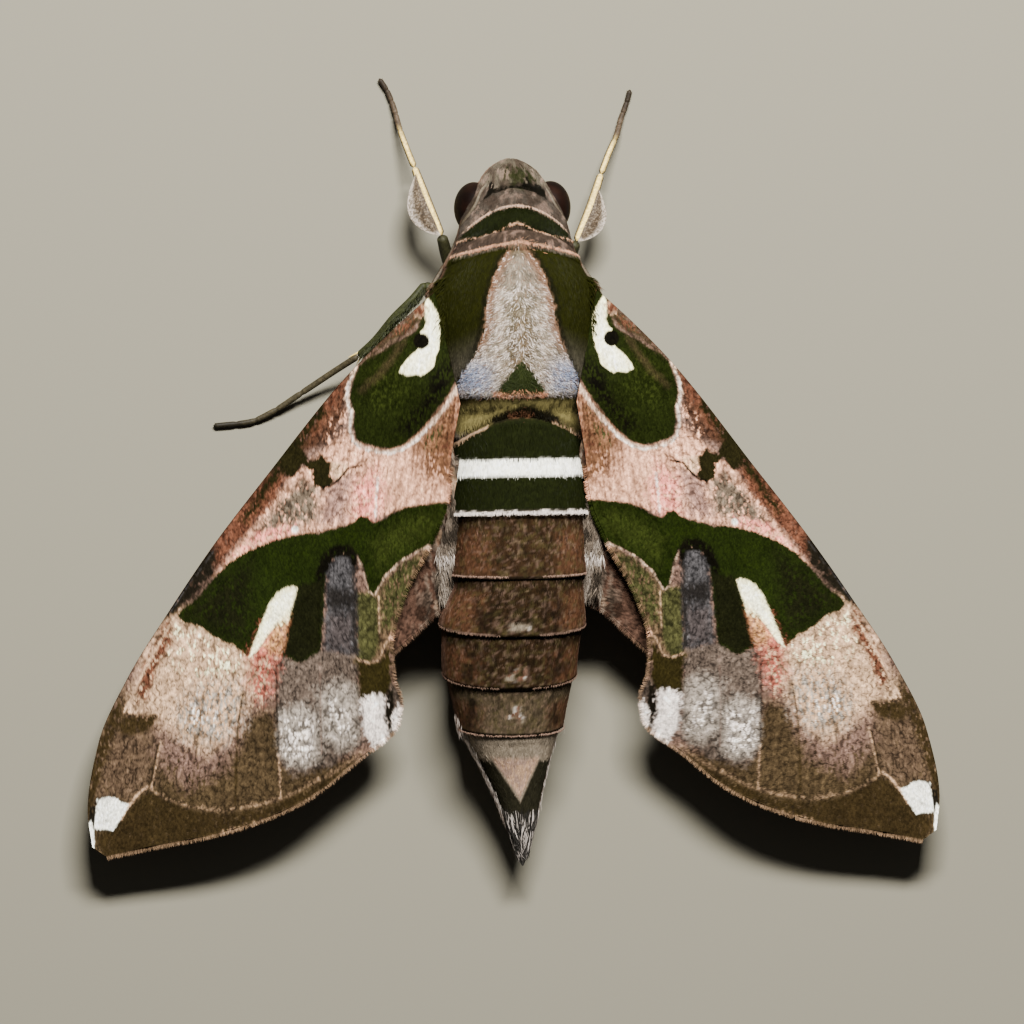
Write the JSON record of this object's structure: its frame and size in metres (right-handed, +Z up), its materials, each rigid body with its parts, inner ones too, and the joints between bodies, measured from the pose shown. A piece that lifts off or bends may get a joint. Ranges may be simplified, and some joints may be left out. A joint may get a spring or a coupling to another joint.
{
  "type": "hawk moth",
  "caption": "Life-size still model of a jade hawk moth at rest with its marbled green and pink wings spread.",
  "frame": {"origin": "centre of the bounding box in plan, at the level of the feet, where they rest on the floor", "axes": "+Z up, off the floor the moth stands on; +Y towards its head, along the body; +X to the moth's own right, across the wing span"},
  "size_m": [0.0644, 0.0598, 0.0128],
  "materials": {
    "body_fur": "dense matt hair scales, olive green, grey-pink, white and rust brown",
    "wing_scale": "matt wing scales, dark green, pink-grey, cream and rust brown",
    "eye": "smooth, dark and glossy",
    "leg_scale": "close-lying scales, olive and cream",
    "horn": "ringed horn, pinkish brown, satin"
  },
  "bodies": {
    "root": {"abdomen_1": "body_fur", "abdomen_2": "body_fur", "abdomen_3": "body_fur", "abdomen_4": "body_fur", "abdomen_5": "body_fur", "abdomen_6": "body_fur", "abdomen_7": "body_fur", "antenna_L": "horn", "antenna_R": "horn", "collar": "body_fur", "eye_L": "eye", "eye_R": "eye", "fore_femur_L": "leg_scale", "fore_femur_R": "leg_scale", "fore_tarsus_L": "leg_scale", "fore_tarsus_R": "leg_scale", "fore_tibia_L": "leg_scale", "fore_tibia_R": "leg_scale", "forewing_L": "wing_scale", "forewing_R": "wing_scale", "head": "body_fur", "hind_femur_L": "leg_scale", "hind_femur_R": "leg_scale", "hind_tarsus_L": "leg_scale", "hind_tarsus_R": "leg_scale", "hind_tibia_L": "leg_scale", "hind_tibia_R": "leg_scale", "hindwing_L": "wing_scale", "hindwing_R": "wing_scale", "metathorax": "body_fur", "mid_femur_L": "leg_scale", "mid_femur_R": "leg_scale", "mid_tarsus_L": "leg_scale", "mid_tarsus_R": "leg_scale", "mid_tibia_L": "leg_scale", "mid_tibia_R": "leg_scale", "palp_L": "body_fur", "palp_R": "body_fur", "proboscis": "horn", "tail_tuft": "body_fur", "tegula_L": "body_fur", "tegula_R": "body_fur", "thorax": "body_fur"}
  },
  "joints": []
}
